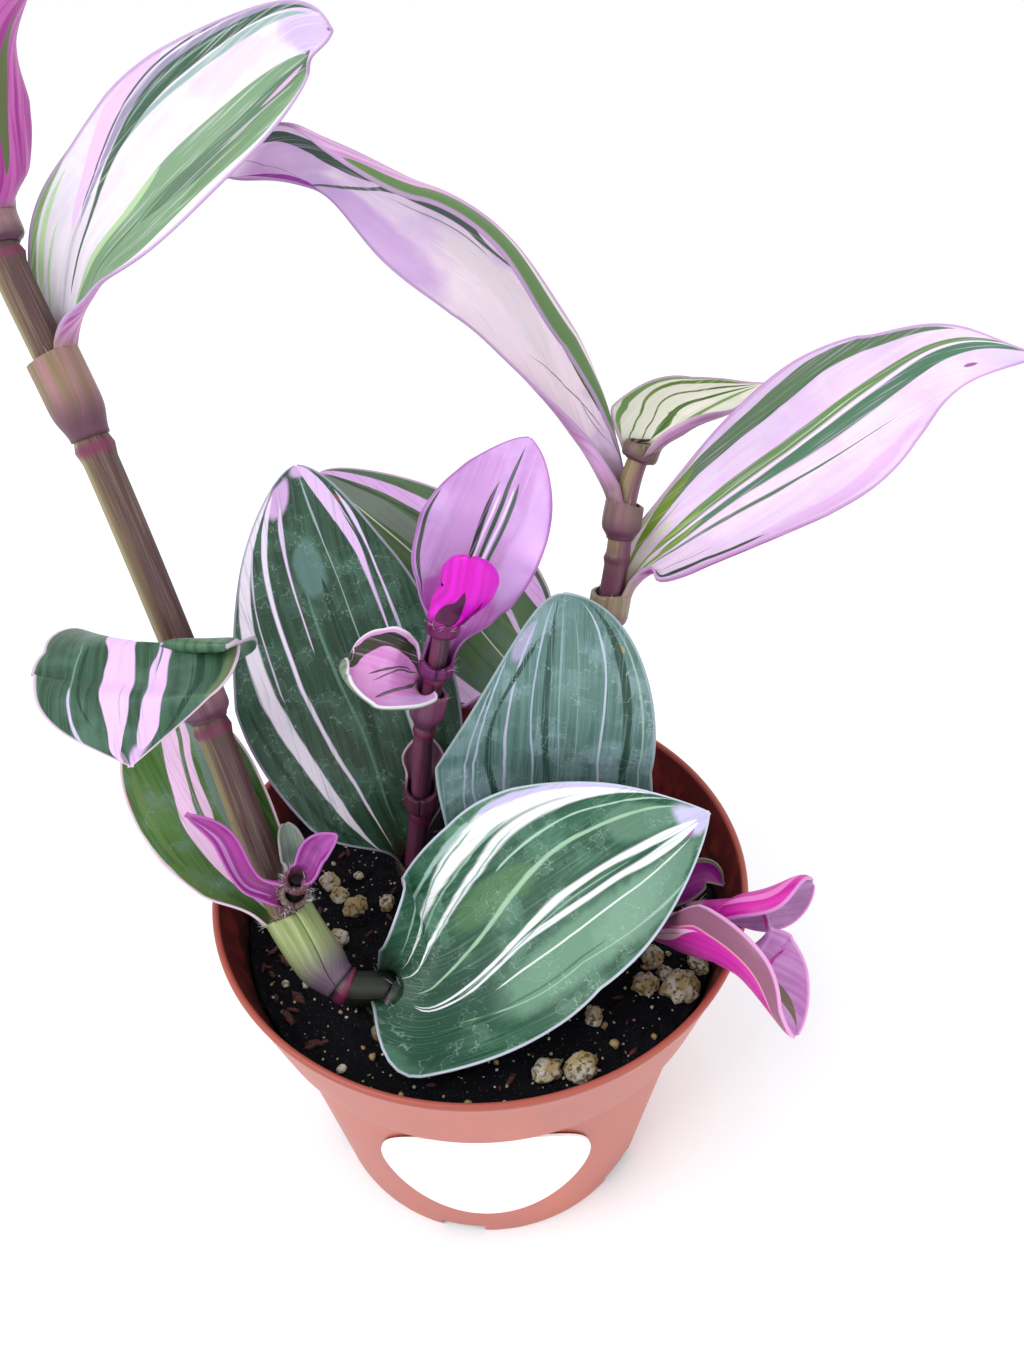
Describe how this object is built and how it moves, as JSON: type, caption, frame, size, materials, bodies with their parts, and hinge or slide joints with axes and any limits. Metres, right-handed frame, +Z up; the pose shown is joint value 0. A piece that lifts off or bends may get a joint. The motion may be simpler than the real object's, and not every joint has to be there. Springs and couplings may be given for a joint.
{
  "type": "potted tradescantia plant",
  "caption": "Trailing house plant with striped clasping leaves on slim stems, growing from dark soil in a round tapered nursery pot with a round blank label.",
  "frame": {"origin": "centre of the underside of the pot, where it stands", "axes": "+Z up along the pot's axis, -Y towards the label at the front, +X to the right seen from the front"},
  "size_m": [0.2048, 0.1164, 0.2344],
  "materials": {
    "pot": "satin moulded plastic",
    "label": "matt coated paper",
    "soil": "rough damp potting mix with white perlite",
    "stem": "waxy, finely streaked",
    "green_leaf": "waxy, striped green and white",
    "pink_leaf": "waxy, striped pink, white and green"
  },
  "bodies": {
    "root": {"pot": "pot", "label": "label", "soil": "soil", "crown_bud": "green_leaf", "stem_tall": "stem", "stem_short": "stem", "stem_back": "stem", "stem_right": "stem", "leaf_front": "green_leaf", "leaf_tall_lower": "green_leaf", "leaf_tall_drooping": "green_leaf", "leaf_tall_upper": "pink_leaf", "leaf_tall_edge": "pink_leaf", "leaf_tall_outer": "pink_leaf", "leaf_tall_young": "pink_leaf", "leaf_short_big": "green_leaf", "leaf_short_bract": "pink_leaf", "leaf_short_cup": "pink_leaf", "leaf_short_upright": "pink_leaf", "leaf_short_rolled": "pink_leaf", "leaf_back_lower": "green_leaf", "leaf_back_right": "pink_leaf", "leaf_back_long": "pink_leaf", "leaf_back_young": "pink_leaf", "leaf_right_upright": "green_leaf", "leaf_right_small": "pink_leaf", "leaf_right_rolled": "pink_leaf", "leaf_right_hanging": "pink_leaf", "shoot_leaf_long": "pink_leaf", "shoot_leaf_blunt": "green_leaf", "shoot_leaf_short": "pink_leaf"}
  },
  "joints": []
}
